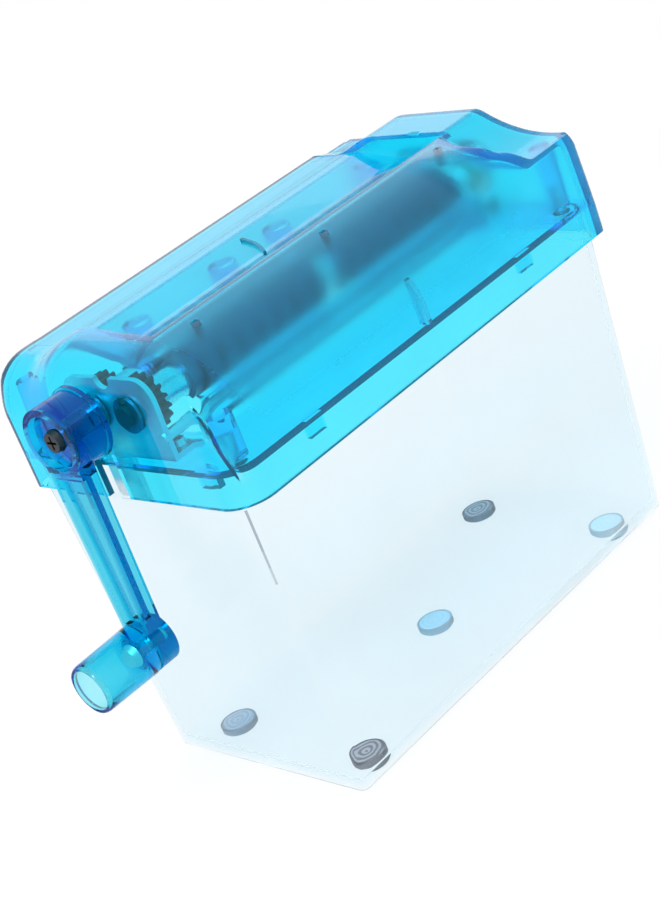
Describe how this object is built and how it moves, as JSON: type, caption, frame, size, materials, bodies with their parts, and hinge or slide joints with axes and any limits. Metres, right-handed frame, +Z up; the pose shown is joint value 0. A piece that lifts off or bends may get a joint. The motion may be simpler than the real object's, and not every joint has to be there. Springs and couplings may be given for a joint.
{
  "type": "hand-cranked mini paper shredder",
  "caption": "Small desk paper shredder: a translucent blue head with two meshing cutter rollers, turned by a side crank, on a clear bin.",
  "frame": {"origin": "centre of the head's footprint on the table, on the underside of the middle foot pad", "axes": "X along the cutter rollers with the crank at -X, Y from the front (-Y) to the back, Z up"},
  "size_m": [0.1874, 0.091, 0.1337],
  "materials": {
    "clear_plastic": "clear moulded polystyrene, polished",
    "blue_plastic": "translucent cyan-blue moulded polystyrene, polished",
    "pale_plastic": "pale translucent moulded plastic",
    "zinc_steel": "zinc plated steel",
    "dark_steel": "hardened dark steel, ground edges",
    "bronze": "sintered bronze",
    "foot_rubber": "grey rubber, matt"
  },
  "bodies": {
    "bin": {"waste_bin": "clear_plastic", "foot_front_left": "foot_rubber", "foot_front_right": "foot_rubber", "foot_back_left": "foot_rubber", "foot_back_right": "foot_rubber", "foot_middle": "foot_rubber"},
    "head": {"top_cover": "blue_plastic", "lower_tray": "blue_plastic", "cover_screws": "zinc_steel", "side_plate_crank": "zinc_steel", "side_plate_far": "zinc_steel", "plate_screws": "zinc_steel", "tie_rod_front": "zinc_steel", "tie_rod_back": "zinc_steel", "comb_front": "blue_plastic", "comb_back": "blue_plastic", "bush_drive_crank": "bronze", "bush_drive_far": "bronze", "bush_driven_crank": "bronze", "bush_driven_far": "bronze"},
    "drive": {"drive_shaft": "zinc_steel", "drive_cutter_left": "dark_steel", "drive_cutter_right": "dark_steel", "drive_spacers": "zinc_steel", "drive_gear": "zinc_steel", "drive_clips": "dark_steel", "crank_arm": "blue_plastic", "crank_screw": "zinc_steel", "knob_pin": "zinc_steel"},
    "driven": {"driven_shaft": "zinc_steel", "driven_cutter_left": "dark_steel", "driven_cutter_right": "dark_steel", "driven_spacers": "zinc_steel", "driven_gear": "zinc_steel", "driven_clips": "dark_steel"},
    "handle": {"knob": "blue_plastic", "knob_cap": "pale_plastic"}
  },
  "joints": [
    {"name": "head_lift", "type": "slide", "parent": "bin", "child": "head", "axis": [0, 0, 1], "range_m": [0, 0.06]},
    {"name": "crank_turn", "type": "hinge", "parent": "head", "child": "drive", "pos_m": [0, 0.0055, 0.1171], "axis": [1, 0, 0], "continuous": true},
    {"name": "driven_turn", "type": "hinge", "parent": "head", "child": "driven", "pos_m": [0, -0.0085, 0.1171], "axis": [1, 0, 0], "continuous": true},
    {"name": "knob_turn", "type": "hinge", "parent": "drive", "child": "handle", "pos_m": [-0.1, 0.0055, 0.0541], "axis": [1, 0, 0], "continuous": true}
  ],
  "couplings": [
    {"joint": "driven_turn", "follows": "crank_turn", "ratio": -1}
  ]
}
